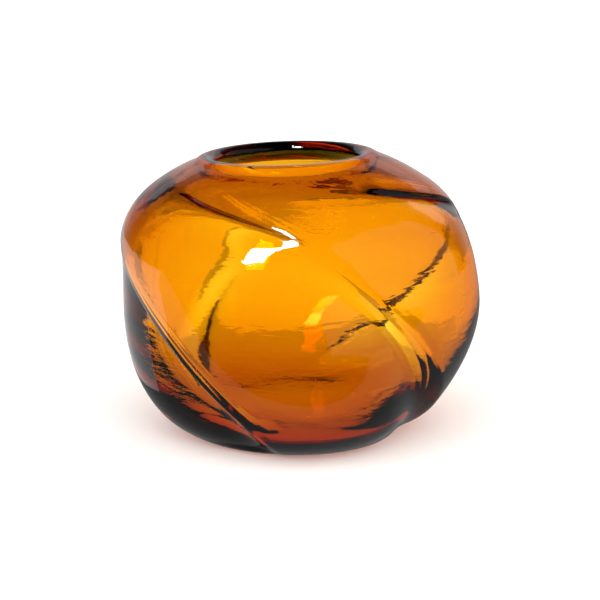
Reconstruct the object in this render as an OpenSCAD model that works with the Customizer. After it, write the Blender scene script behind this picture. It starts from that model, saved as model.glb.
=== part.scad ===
// Low, round glass vase with four swirled ridges, blown and twisted in one piece.
// The origin is the centre of the flat foot, and +Z points up out of the mouth.
// Every length is in millimetres and every angle in degrees.

/* [Body] */
// Height from the flat foot to the crown of the lip
height = 165; // [130:1:200]
// Mean radius of the body at its belly
belly_r = 105; // [85:0.5:130]
// Height of the belly, where the body is widest
belly_height = 100; // [80:1:110]
// Sideways shift of the belly from the centre of the foot
belly_shift = 3.3; // [-5:0.1:5]
// Radius of the flat foot
foot_r = 46; // [30:1:55]
// How late the lower body starts to draw in on its way down from the belly
lower_lateness = 2; // [1.6:0.1:2.6]
// How fully the lower body holds its width before it turns under
lower_fullness = 2.4; // [1.8:0.1:3]
// How late the shoulder starts to draw in on its way up from the belly
shoulder_lateness = 2.4; // [1.8:0.1:3]
// How fully the shoulder holds its width before it reaches the lip
shoulder_fullness = 1.25; // [1.1:0.05:2]

/* [Swirl] */
// Number of ridges round the body
ridges = 4; // [3:1:6]
// Turn of the ridges from the foot up to the lip, clockwise seen from above
swirl_turn = 103; // [0:1:150]
// Direction of the first ridge at the foot, measured from +X towards +Y
first_ridge = 86; // [0:1:90]
// Depth of the groove beside each ridge, as a share of the radius
groove_depth = 0.11; // [0:0.01:0.12]
// Angle from a ridge to the deepest line of its groove, from the belly upwards
groove_reach = 6.5; // [6:0.5:12]
// The same angle at the foot: the groove widens on its way down
groove_reach_foot = 14; // [12:0.5:20]
// Height below which the grooves widen
groove_widens_below = 70; // [50:1:90]
// Height at which the grooves have risen to their full depth
groove_full = 7; // [6:1:30]
// Height at which the grooves begin to fade
groove_fade_from = 58; // [35:1:70]
// Height at which the grooves have gone
groove_fade_to = 138; // [90:1:140]
// How far the panels between the ridges swell, as a share of the radius
panel_swell = 0.021; // [0:0.001:0.04]
// Angle from a ridge to the fullest line of the panel beside it
panel_crown = 34; // [20:1:45]

/* [Shoulder] */
// Depth of the hollow pressed into the upper end of each groove, as a share of the radius
thumb_depth = 0.06; // [0:0.005:0.09]
// Height of the middle of that pressed hollow
thumb_height = 141; // [132:1:144]
// Distance above and below over which the pressed hollow fades away
thumb_span = 9; // [6:0.5:12]
// Angle from a ridge to the deepest line of its pressed hollow
thumb_reach = 10; // [8:0.5:14]
// Depth of the pressed hollow inside the vase, as a share of its depth outside
thumb_follow = 0.3; // [0:0.05:0.5]
// How quickly the swirl tightens over the shoulder, in degrees per square millimetre of rise
tighten = 0.07; // [0:0.01:0.08]
// Height at which the swirl starts to tighten
tighten_from = 128; // [120:1:135]
// Height at which the swirl has stopped tightening
tighten_to = 151; // [140:1:155]

/* [Mouth] */
// Radius of the throat, the straight hole under the lip
throat_r = 40; // [30:0.5:44]
// Width of the lip from the throat to its crown
lip_width = 4; // [3.5:0.5:6]
// Radius of the rounding on the inside of the lip
lip_round = 4.5; // [4:0.5:6]
// Sideways shift of the mouth from the centre of the foot
mouth_shift = -4.3; // [-8:0.1:8]
// Lean of the mouth, positive when the +X side is higher
mouth_lean = 1.9; // [0:0.1:3]

/* [Glass] */
// Thickness of the wall at the belly
wall = 8; // [6:0.5:10]
// Thickness of the glass under the hollow
base_thickness = 16; // [12:1:20]
// Depth of the throat, from the crown of the lip to the hollow
throat_depth = 11; // [9:0.5:14]
// Depth of the grooves in the hollow, as a share of those outside
hollow_follow = 0.75; // [0.5:0.05:0.8]

/* [Smoothness] */
// Facets round each panel
panel_steps = 22; // [12:2:24]
// Facets up the outside, and again up the hollow
rise_steps = 28; // [16:2:32]

/* [Hidden] */
// Names of the two skins that the glass lies between
OUTSIDE = 0;
HOLLOW = 1;
// Angle between one ridge and the next
pitch = 360 / ridges;
// Facets stand closer together beside a ridge, by this power
crowding = 1.35;
// Power that sets the fullest level of the panels below mid height
swell_sink = 0.73;
// Share of the height at which the body starts to lean over to the mouth
lean_from = 0.45;
// Heights and radii of the two skins
crown_r = throat_r + lip_width;
hollow_top = height - throat_depth;
hollow_top_r = throat_r + 2;
hollow_floor_r = foot_r - 4;
// The throat's cutter runs on this far at both ends, and its rounding this far past the crown
overrun = 1;
round_overrun = 0.5;
// The rounding turns this far towards the crown, in steps this fine
round_turn = 70;
round_step = 5;
throat_facets = 96;

// Rises smoothly from 0 to 1 as t does
function ease(t) = let (s = min(1, max(0, t))) s * s * (3 - 2 * s);

// Falls from 1 at t = 0 to 0 at t = 1 along a superellipse
function superellipse(t, lateness, fullness) =
    pow(1 - pow(min(1, max(0, t)), lateness), 1 / fullness);

// Lowest height, highest height and the radii at the bottom, belly and top of a skin
function skin_low(skin) = skin == OUTSIDE ? 0 : base_thickness;
function skin_high(skin) = skin == OUTSIDE ? height : hollow_top;
function skin_low_r(skin) = skin == OUTSIDE ? foot_r : hollow_floor_r;
function skin_belly_r(skin) = skin == OUTSIDE ? belly_r : belly_r - wall;
function skin_high_r(skin) = skin == OUTSIDE ? crown_r : hollow_top_r;

// Share of the way down from the belly to a skin's bottom, and up to its top, at height z
function way_down(skin, z) = (belly_height - z) / (belly_height - skin_low(skin));
function way_up(skin, z) = (z - belly_height) / (skin_high(skin) - belly_height);

// Mean radius of a skin at height z
function mean_r(skin, z) =
    z < belly_height
    ? skin_low_r(skin) + (skin_belly_r(skin) - skin_low_r(skin))
      * superellipse(way_down(skin, z), lower_lateness, lower_fullness)
    : skin_high_r(skin) + (skin_belly_r(skin) - skin_high_r(skin))
      * superellipse(way_up(skin, z), shoulder_lateness, shoulder_fullness);

// Depth of the grooves at height z
function groove_at(z) =
    groove_depth * ease(z / groove_full)
    * (1 - ease((z - groove_fade_from) / (groove_fade_to - groove_fade_from)));

// Angle from a ridge to the deepest line of its groove at height z
function reach_at(z) =
    groove_reach + (groove_reach_foot - groove_reach) * max(0, 1 - z / groove_widens_below);

// Section of a groove at height z: 0 on the ridge itself and 1 along the deepest line
function groove_section(before, z) = let (part = before / reach_at(z)) part * exp(1 - part);

// Depth of the pressed hollow at the upper end of a groove, at height z
function thumb_at(z) = thumb_depth * exp(-pow((z - thumb_height) / thumb_span, 2));

// Section of a pressed hollow: 0 on the ridge itself and 1 along the deepest line
function thumb_section(before) = let (part = before / thumb_reach) part * exp(1 - part);

// Swell of the panels at height z and at an angle before a ridge
function swell_at(before, z) =
    panel_swell * sin(180 * pow(z / height, swell_sink)) * cos(ridges * (before + panel_crown));

// Radius of a skin at height z, at an angle before a ridge
function skin_r(skin, before, z) =
    let (follow = skin == OUTSIDE ? 1 : hollow_follow)
    let (groove = follow * groove_at(z) * groove_section(before, z))
    let (thumb = (skin == OUTSIDE ? 1 : thumb_follow) * thumb_at(z) * thumb_section(before))
    mean_r(skin, z) * (1 - groove - thumb) * (1 + swell_at(before, z));

// Turn of the ridges at height z, which tightens over the shoulder
function turn_at(z) =
    swirl_turn * z / height
    + tighten * pow(min(max(z, tighten_from), tighten_to) - tighten_from, 2);

// A point of a skin: the belly stands off to one side, and the mouth leans back over
function skin_point(skin, ridge, before, z) =
    let (lean = ease((z / height - lean_from) / (1 - lean_from)))
    let (angle = first_ridge + pitch * ridge - before - turn_at(z))
    let (r = skin_r(skin, before, z))
    let (x = r * cos(angle))
    let (shift = belly_shift * ease(2 * z / height) + lean * (mouth_shift - belly_shift))
    [x + shift, r * sin(angle), z + lean * x * tan(mouth_lean)];

// Height of level i: the levels stand closer together near the foot and the mouth
function level(skin, i) =
    skin_low(skin) + (skin_high(skin) - skin_low(skin)) * (1 - cos(180 * i / rise_steps)) / 2;

// All the points of a skin, level by level, going round clockwise from each ridge
function skin_points(skin) = [
    for (i = [0 : rise_steps])
    for (ridge = [0 : -1 : 1 - ridges])
    for (step = [0 : panel_steps - 1])
    skin_point(skin, ridge, pitch * pow(step / panel_steps, crowding), level(skin, i))
];

// A closed solid inside one skin, flat at its bottom and its top
module skin_solid(skin) {
    around = ridges * panel_steps;
    sides = [
        for (i = [0 : rise_steps - 1])
        for (j = [0 : around - 1])
        let (a = i * around + j)
        let (b = i * around + (j + 1) % around)
        each [[a, b, b + around], [a, b + around, a + around]]
    ];
    bottom = [for (j = [around - 1 : -1 : 0]) j];
    top = [for (j = [0 : around - 1]) rise_steps * around + j];
    polyhedron(points = skin_points(skin), faces = concat(sides, [bottom, top]));
}

// The straight throat and the rounding that opens it out to the crown of the lip
module throat() {
    cutter_low = -throat_depth - overrun;
    cutter_high = lip_round + overrun;
    rounding = [
        for (turn = [0 : round_step : round_turn])
        let (out = lip_round * (1 - cos(turn)))
        let (up = lip_round * (sin(turn) - 1) + round_overrun)
        [throat_r + out, up]
    ];
    widest = rounding[len(rounding) - 1].x;
    translate([mouth_shift, 0, height])
    rotate([0, -mouth_lean, 0])
    rotate_extrude($fn = throat_facets)
    polygon(concat(
        [[0, cutter_low], [throat_r, cutter_low]],
        rounding,
        [[widest, cutter_high], [0, cutter_high]]
    ));
}

module glass_body() {
    color([0.91, 0.49, 0.05, 0.6])
    difference() {
        skin_solid(OUTSIDE);
        skin_solid(HOLLOW);
        throat();
    }
}

glass_body();
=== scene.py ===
import math

import bpy
import numpy as np
from mathutils import Matrix, Vector


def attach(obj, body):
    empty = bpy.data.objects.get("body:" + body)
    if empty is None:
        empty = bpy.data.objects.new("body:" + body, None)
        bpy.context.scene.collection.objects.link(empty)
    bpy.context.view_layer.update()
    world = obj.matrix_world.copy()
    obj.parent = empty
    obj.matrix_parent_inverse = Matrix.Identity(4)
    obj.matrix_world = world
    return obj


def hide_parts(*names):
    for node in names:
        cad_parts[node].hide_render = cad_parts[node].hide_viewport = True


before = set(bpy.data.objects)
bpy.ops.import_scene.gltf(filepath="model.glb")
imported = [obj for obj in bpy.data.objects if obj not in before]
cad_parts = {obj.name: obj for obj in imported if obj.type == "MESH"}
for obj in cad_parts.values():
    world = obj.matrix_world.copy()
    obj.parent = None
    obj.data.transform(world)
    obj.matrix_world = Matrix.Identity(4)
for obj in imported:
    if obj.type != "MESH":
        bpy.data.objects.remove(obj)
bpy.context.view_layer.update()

MM = 0.001

# --- the vase's own sizes, as its CAD model has them, in millimetres and degrees ---
HEIGHT = 165.0
BELLY_R = 105.0
BELLY_HEIGHT = 100.0
BELLY_SHIFT = 3.3
FOOT_R = 46.0
# How late and how fully the body draws in, below and above the belly
LOWER = (2.0, 2.4)
SHOULDER = (2.4, 1.25)
# Ridges, and the angle from one to the next
RIDGES = 4
PITCH = 360.0 / RIDGES
SWIRL_TURN = 103.0
FIRST_RIDGE = 86.0
# The groove beside each ridge: its depth is a share of the radius, its reach an angle
GROOVE_DEPTH = 0.11
GROOVE_REACH = 6.5
GROOVE_REACH_FOOT = 14.0
GROOVE_WIDENS_BELOW = 70.0
GROOVE_FULL = 7.0
GROOVE_FADE_FROM = 58.0
GROOVE_FADE_TO = 138.0
# The hollow pressed into the upper end of each groove
THUMB_DEPTH = 0.06
THUMB_HEIGHT = 141.0
THUMB_SPAN = 9.0
THUMB_REACH = 10.0
THUMB_FOLLOW = 0.3
# The swirl tightens over the shoulder, in degrees per square millimetre of rise
TIGHTEN = 0.07
TIGHTEN_FROM = 128.0
TIGHTEN_TO = 151.0
# The panels between the ridges swell a little
PANEL_SWELL = 0.021
PANEL_CROWN = 34.0
SWELL_SINK = 0.73
# The mouth
THROAT_R = 40.0
THROAT_DEPTH = 11.0
LIP_WIDTH = 4.0
MOUTH_SHIFT = -4.3
MOUTH_LEAN = 1.9
LEAN_FROM = 0.45
# The glass
WALL = 8.0
BASE_THICKNESS = 16.0
HOLLOW_FOLLOW = 0.75
# The hollow's floor starts this far inside the foot's edge, and its top this far outside the throat
HOLLOW_FLOOR_INSET = 4.0
HOLLOW_TOP_OUTSET = 2.0

# --- what the fire and the tools leave soft, in millimetres and degrees ---
# The lip is melted round over this height
LIP_RISE = 2.4
# The floor of the hollow dips this far in its middle, and the dip starts this far inside the foot's edge
FLOOR_DIP = 3.0
DIP_INSET = 6.0
# Corners are rounded over this reach, on the outside and in the hollow
OUTSIDE_ROUND = 0.9
HOLLOW_ROUND = 4.2
# Angle over which a ridge's crest is rounded, outside and in the hollow
CREST_ROUND = 1.1
CREST_ROUND_HOLLOW = 4.0
# A crest is rounder by this angle near this height, and less so this far above and below it
CREST_SOFTENS = 1.3
CREST_SOFT_HEIGHT = 120.0
CREST_SOFT_SPAN = 18.0
# Steps and weights with which a section is averaged over its crest
CREST_STEPS = (-2, -1, 0, 1, 2)
CREST_WEIGHTS = (0.07, 0.24, 0.38, 0.24, 0.07)

# --- how finely the glass is drawn ---
# Columns of faces round one panel, and how much closer they stand beside a ridge
PANEL_COLUMNS = 80
CROWDING = 0.68
# Spacing of the rings in millimetres, outside and in the hollow
OUTSIDE_SPACING = 1.6
HOLLOW_SPACING = 1.9
# Points with which each skin, the lip and the hollow's floor are first laid out
WALL_POINTS = 400
HOLLOW_POINTS = 300
LIP_POINTS = 25
FLOOR_POINTS = 30
# The skins' first points are left out this close to the foot and to the hollow's floor
FOOT_GAP = 0.5
FLOOR_GAP = 0.3
# The foot's face is laid out to this far inside its edge
FOOT_INSET = 1.0
# Points lower than the middle of the hollow's floor by more than this belong to the outside
BELOW_FLOOR = 0.5
# The thinnest wall that a share of its thickness is taken of
THINNEST = 0.1
# Points closer together than this are one, in metres
WELD = 2e-6

# --- the glass's own pattern, in millimetres ---
# Broad waves left by the mould and the fire: their length and how far they rise
WAVE_LENGTH = 45.5
WAVE_RISE = 1.5
WAVE_STRENGTH = 0.4
# Cords, fine streaks that lie round the body: their length, their flatness and their rise
CORD_LENGTH = 18.2
CORD_FLATNESS = 4.0
CORD_RISE = 0.5
CORD_STRENGTH = 0.2
# White light loses its blue and then its green in this amber, at this rate per metre
AMBER = "F8E700"
AMBER_DENSITY = 425.0
SODA_LIME_IOR = 1.5

# --- the studio, in metres ---
FLOOR_SIZE = 6.0
# The floor stands this far below the foot, so that the two faces don't share a plane
FLOOR_DROP = 0.0004
# Brightness of the white surroundings, as the floor and the open view have it
SURROUNDINGS = 1.6
# What the glass shows behind it: white, with a darker ceiling high up. The first number runs
# from 0 straight down to 1 straight up, and the second is the brightness there.
BEHIND = ((0.0, 1.75), (0.7, 1.75), (0.78, 0.7), (0.88, 0.3), (0.93, 0.8), (1.0, 0.8))
# What the glass mirrors: a dark room in front that turns brighter towards the far wall
ROOM_DARK = 0.015
ROOM_FAR_WALL = 0.55
FAR_WALL_FROM = 0.65
# Light reaches through this many surfaces
BOUNCES = 32
MIRROR_BOUNCES = 16

# --- the camera, in metres and millimetres ---
LENS = 106.7
SENSOR = 36.0
CAMERA_PLACE = (0.0033, -1.0172, 0.3178)
CAMERA_AIM = (0.0033, 0.0, 0.0776)


def ease(t):
    """Rises smoothly from 0 to 1 as t does."""
    s = np.clip(t, 0.0, 1.0)
    return s * s * (3.0 - 2.0 * s)


def superellipse(t, lateness, fullness):
    """Falls from 1 at t = 0 to 0 at t = 1."""
    return (1.0 - np.clip(t, 0.0, 1.0) ** lateness) ** (1.0 / fullness)


def mean_radius(z, low_z, high_z, low_r, belly_r, high_r):
    """Radius of a skin of the glass at height z, before it is pressed and twisted."""
    down = superellipse((BELLY_HEIGHT - z) / (BELLY_HEIGHT - low_z), *LOWER)
    up = superellipse((z - BELLY_HEIGHT) / (high_z - BELLY_HEIGHT), *SHOULDER)
    below = low_r + (belly_r - low_r) * down
    above = high_r + (belly_r - high_r) * up
    return np.where(z < BELLY_HEIGHT, below, above)


def outer_radius(z):
    return mean_radius(z, 0.0, HEIGHT, FOOT_R, BELLY_R, THROAT_R + LIP_WIDTH)


def hollow_radius(z):
    top = HEIGHT - THROAT_DEPTH
    low_r, top_r = FOOT_R - HOLLOW_FLOOR_INSET, THROAT_R + HOLLOW_TOP_OUTSET
    return mean_radius(z, BASE_THICKNESS, top, low_r, BELLY_R - WALL, top_r)


def groove_section(before, reach, crest_round):
    """How deep a groove is at an angle before its ridge, from 0 to 1, with the crest rounded off."""
    total = 0.0
    for step, weight in zip(CREST_STEPS, CREST_WEIGHTS):
        part = np.clip((before + step * crest_round) / reach, 0.0, None)
        total = total + weight * part * np.exp(1.0 - part)
    return total


def both_grooves(before, reach, crest_round):
    """A groove's own section and what is left of the one before it."""
    own = groove_section(before, reach, crest_round)
    return own + groove_section(before - PITCH, reach, crest_round)


def press_and_twist(x, y, z, hollow_share):
    """Moves points of the round blown body to where the mould and the twist take them.
    hollow_share is 0 on the outside and 1 in the hollow, where the grooves are softer."""
    r = np.hypot(x, y)
    turn = np.degrees(np.arctan2(y, x)) % 360.0
    panel = np.floor(turn / PITCH + 1e-6)
    u = turn / PITCH - panel
    before = PITCH * (u - CROWDING * np.sin(math.tau * u) / math.tau)

    # The crest of each ridge, softer near the shoulder and in the hollow
    softer = CREST_SOFTENS * np.exp(-(((z - CREST_SOFT_HEIGHT) / CREST_SOFT_SPAN) ** 2))
    crest_round = CREST_ROUND + softer
    crest_round = crest_round + (CREST_ROUND_HOLLOW - crest_round) * hollow_share

    # The groove beside it
    fade = 1.0 - ease((z - GROOVE_FADE_FROM) / (GROOVE_FADE_TO - GROOVE_FADE_FROM))
    depth = GROOVE_DEPTH * ease(z / GROOVE_FULL) * fade
    follow = 1.0 - (1.0 - HOLLOW_FOLLOW) * hollow_share
    widening = np.clip(1.0 - z / GROOVE_WIDENS_BELOW, 0.0, None)
    reach = GROOVE_REACH + (GROOVE_REACH_FOOT - GROOVE_REACH) * widening
    groove = follow * depth * both_grooves(before, reach, crest_round)

    # The pressed hollow at the groove's upper end
    thumb = THUMB_DEPTH * np.exp(-(((z - THUMB_HEIGHT) / THUMB_SPAN) ** 2))
    thumb = thumb * (1.0 - (1.0 - THUMB_FOLLOW) * hollow_share)
    thumb = thumb * both_grooves(before, THUMB_REACH, crest_round)

    # The swell of the panels
    level = np.clip(z / HEIGHT, 0.0, 1.0)
    swell = PANEL_SWELL * np.sin(np.pi * level**SWELL_SINK)
    swell = swell * np.cos(np.radians(RIDGES * (before + PANEL_CROWN)))
    r = r * (1.0 - groove - thumb) * (1.0 + swell)

    # The twist, the belly's shift and the mouth's lean
    tighten = TIGHTEN * np.clip(z - TIGHTEN_FROM, 0.0, TIGHTEN_TO - TIGHTEN_FROM) ** 2
    angle = FIRST_RIDGE - PITCH * panel - before - SWIRL_TURN * z / HEIGHT - tighten
    px, py = r * np.cos(np.radians(angle)), r * np.sin(np.radians(angle))
    lean = ease((z / HEIGHT - LEAN_FROM) / (1.0 - LEAN_FROM))
    shift = BELLY_SHIFT * ease(2.0 * z / HEIGHT) + lean * (MOUTH_SHIFT - BELLY_SHIFT)
    return px + shift, py, z + lean * px * math.tan(math.radians(MOUTH_LEAN))


def even_heights(low, high, count):
    """Heights from low to high that stand closer together at both ends."""
    t = np.arange(count + 1) / count
    return low + (high - low) * (1.0 - np.cos(np.pi * t)) / 2.0


def soften(points, spacing, reach):
    """Spaces points evenly along their line and rounds its corners over this reach; both ends stay."""
    p = np.array(points)
    along = np.concatenate([[0.0], np.cumsum(np.hypot(*np.diff(p, axis=0).T))])
    count = int(round(along[-1] / spacing))
    at = np.linspace(0.0, along[-1], count + 1)
    even = np.stack([np.interp(at, along, p[:, k]) for k in (0, 1)], axis=1)
    # The line runs on past both ends as its own image turned half round, so that the ends don't move
    pad = int(4 * reach / spacing) + 1
    before = 2 * even[0] - even[pad:0:-1]
    after = 2 * even[-1] - even[-2 : -pad - 2 : -1]
    long = np.concatenate([before, even, after])
    offsets = np.arange(-pad, pad + 1)
    weights = np.exp(-0.5 * (offsets * spacing / reach) ** 2)
    weights /= weights.sum()
    return np.stack([np.convolve(long[:, k], weights, mode="valid") for k in (0, 1)], axis=1)


def round_profile():
    """The section of the round body: foot and wall outside, then the lip, the throat and the hollow."""
    foot = [(0.0, 0.0), (FOOT_R - FOOT_INSET, 0.0)]
    wall = [(outer_radius(z), z) for z in even_heights(0.0, HEIGHT - LIP_RISE, WALL_POINTS)]
    wall = [p for p in wall if p[1] > FOOT_GAP]

    lip_out, lip_low = wall[-1]
    lip_mid, lip_half = (THROAT_R + lip_out) / 2.0, (lip_out - THROAT_R) / 2.0
    lip = [
        (lip_mid + lip_half * math.cos(a), lip_low + LIP_RISE * math.sin(a))
        for a in np.linspace(0.0, math.pi, LIP_POINTS)
    ]
    crown = LIP_POINTS // 2

    heights = even_heights(BASE_THICKNESS, HEIGHT - THROAT_DEPTH, HOLLOW_POINTS)[::-1]
    hollow = [(hollow_radius(z), z) for z in heights if z > BASE_THICKNESS + FLOOR_GAP]
    floor = [
        (r, BASE_THICKNESS - FLOOR_DIP * (1.0 - (r / FOOT_R) ** 2))
        for r in np.linspace(FOOT_R - DIP_INSET, 0.0, FLOOR_POINTS)
    ]

    outside = soften(foot + wall + lip[: crown + 1], OUTSIDE_SPACING, OUTSIDE_ROUND)
    inside = soften(lip[crown:] + hollow + floor, HOLLOW_SPACING, HOLLOW_ROUND)
    return np.concatenate([outside, inside[1:]])


def only(*objects):
    """Selects these objects and nothing else."""
    bpy.ops.object.select_all(action="DESELECT")
    for o in objects:
        o.select_set(True)
        bpy.context.view_layer.objects.active = o


def spin_body():
    """The section, drawn point by point and spun into a closed round body of glass."""
    profile = round_profile()
    only()
    bpy.ops.mesh.primitive_plane_add(size=1.0, location=(0.0, 0.0, 0.0))
    body = bpy.context.object
    body.name = body.data.name = "glass_vase"
    bpy.ops.object.mode_set(mode="EDIT")
    bpy.ops.mesh.select_all(action="SELECT")
    bpy.ops.mesh.merge(type="CENTER")
    at = np.zeros(2)
    for place in profile[1:]:
        r, z = (place - at) * MM
        bpy.ops.mesh.extrude_region_move(TRANSFORM_OT_translate={"value": (r, 0.0, z)})
        at = place
    bpy.ops.mesh.select_all(action="SELECT")
    columns = PANEL_COLUMNS * RIDGES
    bpy.ops.mesh.spin(steps=columns, angle=math.tau, center=(0, 0, 0), axis=(0, 0, 1))
    bpy.ops.mesh.select_all(action="SELECT")
    bpy.ops.mesh.remove_doubles(threshold=WELD)
    bpy.ops.object.mode_set(mode="OBJECT")
    return body


def share_of_wall(r, z):
    """How far through the wall a point lies: 0 on the outside and 1 on the hollow's skin."""
    throat_low = HEIGHT - THROAT_DEPTH
    outside = outer_radius(np.clip(z, 0.0, HEIGHT - LIP_RISE))
    in_hollow = hollow_radius(np.clip(z, BASE_THICKNESS, throat_low))
    inside = np.where(z < throat_low, in_hollow, THROAT_R)
    share = np.clip((outside - r) / np.maximum(outside - inside, THINNEST), 0.0, 1.0)
    # The foot's face belongs to the outside
    return np.where(z < BASE_THICKNESS - FLOOR_DIP - BELOW_FLOOR, 0.0, share)


def blow_body():
    """Spins the round body, then presses and twists it."""
    body = spin_body()
    mesh = body.data
    co = np.empty(len(mesh.vertices) * 3)
    mesh.vertices.foreach_get("co", co)
    co = co.reshape(-1, 3) / MM
    share = share_of_wall(np.hypot(co[:, 0], co[:, 1]), co[:, 2])
    x, y, z = press_and_twist(co[:, 0], co[:, 1], co[:, 2], share)
    mesh.vertices.foreach_set("co", np.stack([x, y, z], axis=1).ravel() * MM)
    mesh.update()
    # Pressing goes round the other way than the spin, so the faces are turned outwards after it
    only(body)
    bpy.ops.object.mode_set(mode="EDIT")
    bpy.ops.mesh.select_all(action="SELECT")
    bpy.ops.mesh.normals_make_consistent(inside=False)
    bpy.ops.object.mode_set(mode="OBJECT")
    bpy.ops.object.shade_smooth()
    return body


def linear(hex_colour):
    """An sRGB hex colour as linear RGBA."""
    parts = [int(hex_colour[i : i + 2], 16) / 255.0 for i in (0, 2, 4)]
    return [p / 12.92 if p <= 0.04045 else ((p + 0.055) / 1.055) ** 2.4 for p in parts] + [1.0]


def add(tree, kind, settings=None, **links):
    """Adds a node of this kind. settings are its own options and its sockets' values, by name or
    number, and links are the sockets that feed it."""
    node = tree.nodes.new(kind)
    for name, value in (settings or {}).items():
        if isinstance(name, int) or name in node.inputs:
            node.inputs[name].default_value = value
        else:
            setattr(node, name, value)
    for name, source in links.items():
        # "in0" is the first socket of a node whose sockets share a name
        socket = int(name[2:]) if name[:2] == "in" else name.replace("_", " ")
        tree.links.new(source, node.inputs[socket])
    return node


def new_tree(owner):
    """Gives a material or a world an empty set of nodes."""
    owner.use_nodes = True
    owner.node_tree.nodes.clear()
    return owner.node_tree


def amber_glass():
    """Amber soda-lime glass, mouth-blown into a ribbed mould, twisted and fire-polished."""
    material = bpy.data.materials.new("amber_soda_lime_glass")
    tree = new_tree(material)
    place = add(tree, "ShaderNodeTexCoord").outputs["Object"]
    # Fire-polishing leaves broad, low waves, which make straight edges seen through it wander
    wave_look = {"Scale": 1.0 / (WAVE_LENGTH * MM), "Detail": 2.0, "Roughness": 0.45}
    waves = add(tree, "ShaderNodeTexNoise", wave_look, Vector=place)
    wave_rise = {"Strength": WAVE_STRENGTH, "Distance": WAVE_RISE * MM}
    swell = add(tree, "ShaderNodeBump", wave_rise, Height=waves.outputs["Fac"])
    # Cords in the glass give the dark lines in it a ragged edge
    flat = add(tree, "ShaderNodeMapping", {"Scale": (1.0, 1.0, CORD_FLATNESS)}, Vector=place)
    cord_look = {"Scale": 1.0 / (CORD_LENGTH * MM), "Detail": 3.0, "Roughness": 0.5, "Distortion": 0.6}
    cords = add(tree, "ShaderNodeTexNoise", cord_look, Vector=flat.outputs["Vector"])
    cord_rise = {"Strength": CORD_STRENGTH, "Distance": CORD_RISE * MM}
    bump = add(
        tree, "ShaderNodeBump", cord_rise, Height=cords.outputs["Fac"], Normal=swell.outputs["Normal"]
    )
    # A wet, perfectly clear surface
    clear = {"IOR": SODA_LIME_IOR, "Roughness": 0.0, "Transmission Weight": 1.0}
    clear["Base Color"] = (1, 1, 1, 1)
    glass = add(tree, "ShaderNodeBsdfPrincipled", clear, Normal=bump.outputs["Normal"])
    # The colour is in the body of the glass: yellow where it is thin, orange and then brown-red
    # where it is thick
    dye = {"Color": linear(AMBER), "Density": AMBER_DENSITY}
    depth = add(tree, "ShaderNodeVolumeAbsorption", dye)
    add(
        tree, "ShaderNodeOutputMaterial", Surface=glass.outputs["BSDF"], Volume=depth.outputs["Volume"]
    )
    return material


def studio_paper():
    """Uncoated paper, matt and nearly white."""
    material = bpy.data.materials.new("pale_studio_paper")
    tree = new_tree(material)
    paper = add(tree, "ShaderNodeBsdfDiffuse", {"Color": linear("F6F5F3"), "Roughness": 1.0})
    add(tree, "ShaderNodeOutputMaterial", Surface=paper.outputs["BSDF"])
    return material


def light_card(name, place, aim, size, strength, mirrored=True, shown=True):
    """A bright card that only the glass sees: it mirrors it, shows it behind itself, or both. The
    card faces its aim and casts no light on the floor."""
    only()
    bpy.ops.mesh.primitive_plane_add(size=1.0, location=(0.0, 0.0, 0.0))
    card = bpy.context.object
    card.name = name
    turn = (Vector(place) - Vector(aim)).to_track_quat("Z", "Y").to_matrix().to_4x4()
    stretch = Matrix.Diagonal((size[0], size[1], 1.0, 1.0))
    card.data.transform(Matrix.Translation(place) @ turn @ stretch)
    material = bpy.data.materials.new(name + "_glow")
    tree = new_tree(material)
    glow = add(tree, "ShaderNodeEmission", {"Color": linear("FFFFFF"), "Strength": strength})
    add(tree, "ShaderNodeOutputMaterial", Surface=glow.outputs["Emission"])
    card.data.materials.append(material)
    card.visible_camera = card.visible_diffuse = card.visible_shadow = False
    card.visible_glossy = mirrored
    card.visible_transmission = shown


def flat_card(name, place, size, strength, mirrored, shown):
    """The same card lying face up beneath the vase."""
    below = (place[0], place[1], -1.0)
    light_card(name, place, below, size, strength, mirrored, shown)


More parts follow.
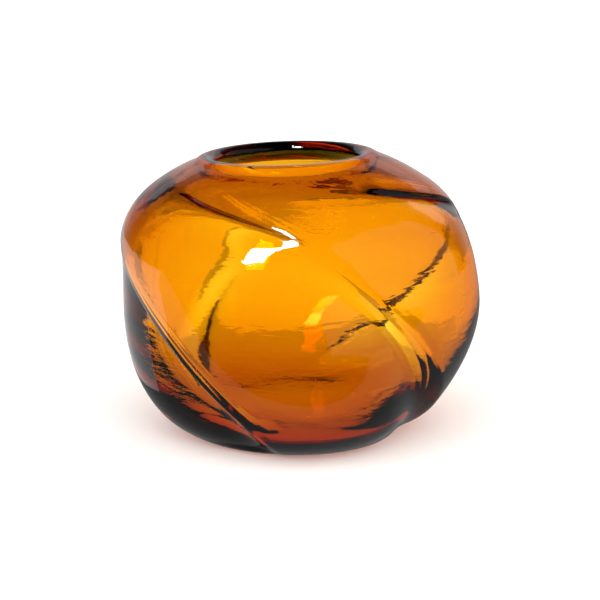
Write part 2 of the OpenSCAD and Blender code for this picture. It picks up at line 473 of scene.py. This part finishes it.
def studio_world():
    """White surroundings. The glass shows a darker ceiling in them, and mirrors a dark room."""
    world = bpy.data.worlds.new("studio")
    bpy.context.scene.world = world
    sky = new_tree(world)
    direction = add(sky, "ShaderNodeTexCoord")
    parts = add(sky, "ShaderNodeSeparateXYZ", Vector=direction.outputs["Generated"])
    rise = {"From Min": -1.0, "From Max": 1.0}
    height = add(sky, "ShaderNodeMapRange", rise, Value=parts.outputs["Z"])
    behind = add(sky, "ShaderNodeValToRGB", Fac=height.outputs["Result"])
    stops = behind.color_ramp.elements
    for place, grey in BEHIND:
        stop = stops[int(place)] if place in (0.0, 1.0) else stops.new(place)
        stop.color = (grey, grey, grey, 1.0)
    wall = {"interpolation_type": "SMOOTHSTEP", "From Min": FAR_WALL_FROM, "From Max": 1.0}
    wall.update({"To Min": ROOM_DARK, "To Max": ROOM_FAR_WALL})
    room = add(sky, "ShaderNodeMapRange", wall, Value=parts.outputs["Y"])

    # A ray that came through the glass without touching the floor shows what is behind
    ray = add(sky, "ShaderNodeLightPath")
    past = ray.outputs["Is Transmission Ray"]
    untouched = add(
        sky, "ShaderNodeMath", {"operation": "LESS_THAN", 1: 0.5}, in0=ray.outputs["Diffuse Depth"]
    )
    through = add(sky, "ShaderNodeMath", {"operation": "MULTIPLY"}, in0=past, in1=untouched.outputs[0])
    open_view = add(
        sky,
        "ShaderNodeMix",
        {"data_type": "FLOAT", "A": SURROUNDINGS},
        Factor=through.outputs[0],
        B=behind.outputs["Color"],
    )
    # A mirrored ray is glossy, but a ray that comes through the glass counts as glossy as well
    mirror = add(
        sky,
        "ShaderNodeMath",
        {"operation": "GREATER_THAN", "use_clamp": True},
        in0=ray.outputs["Is Glossy Ray"],
        in1=past,
    )
    seen = add(
        sky,
        "ShaderNodeMix",
        {"data_type": "FLOAT"},
        Factor=mirror.outputs[0],
        A=open_view.outputs[0],
        B=room.outputs["Result"],
    )
    white = {"Color": (1, 1, 1, 1)}
    glow = add(sky, "ShaderNodeBackground", white, Strength=seen.outputs[0])
    add(sky, "ShaderNodeOutputWorld", Surface=glow.outputs["Background"])


# --- the vase ---
vase = blow_body()
vase.data.materials.clear()
vase.data.materials.append(amber_glass())
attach(vase, "root")
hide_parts("glass_body")

# --- the studio ---
only()
bpy.ops.mesh.primitive_plane_add(size=FLOOR_SIZE, location=(0.0, 0.0, -FLOOR_DROP))
floor = bpy.context.object
floor.name = "studio_floor"
floor.data.materials.append(studio_paper())
floor.visible_glossy = False
studio_world()

# Cards under and behind the vase: the grey table and the brighter sheet at its left are only
# mirrored, and the white table and the shaded place around the foot only show through the glass
flat_card("table_top", (0.0, 0.88, -0.0008), (4.0, 2.0), 0.25, mirrored=True, shown=False)
flat_card("left_sheet", (-1.13, 0.98, -0.0006), (2.0, 2.0), 0.9, mirrored=True, shown=False)
flat_card("light_table", (0.0, 0.0, -0.0003), (4.0, 4.0), 1.75, mirrored=False, shown=True)
flat_card("shaded_pad", (0.0, 0.02, -0.0002), (0.34, 0.3), 1.15, mirrored=False, shown=True)

# Cards that stand round the vase: a dim soft box at the right, a strip over the far wall that the
# lip mirrors, and a bright window high on the left
light_card("soft_box", (1.08, -0.29, 0.45), (0, 0, 0.09), (2.2, 1.8), 0.3)
light_card("back_strip", (0.1, 1.3, 0.75), (0, 0, 0.12), (2.0, 0.3), 0.6)
light_card("window", (-0.37, -1.0, 1.07), (0, 0, 0.1), (0.27, 0.75), 45.0)

# --- the camera ---
camera_data = bpy.data.cameras.new("camera")
camera = bpy.data.objects.new("camera", camera_data)
camera_data.lens = LENS
camera_data.sensor_width = SENSOR
camera.location = CAMERA_PLACE
line_of_sight = Vector(CAMERA_AIM) - Vector(CAMERA_PLACE)
camera.rotation_euler = line_of_sight.to_track_quat("-Z", "Y").to_euler()

scene = bpy.context.scene
scene.collection.objects.link(camera)
scene.camera = camera
scene.view_settings.view_transform = "Standard"
scene.cycles.max_bounces = BOUNCES
scene.cycles.transmission_bounces = BOUNCES
scene.cycles.glossy_bounces = MIRROR_BOUNCES
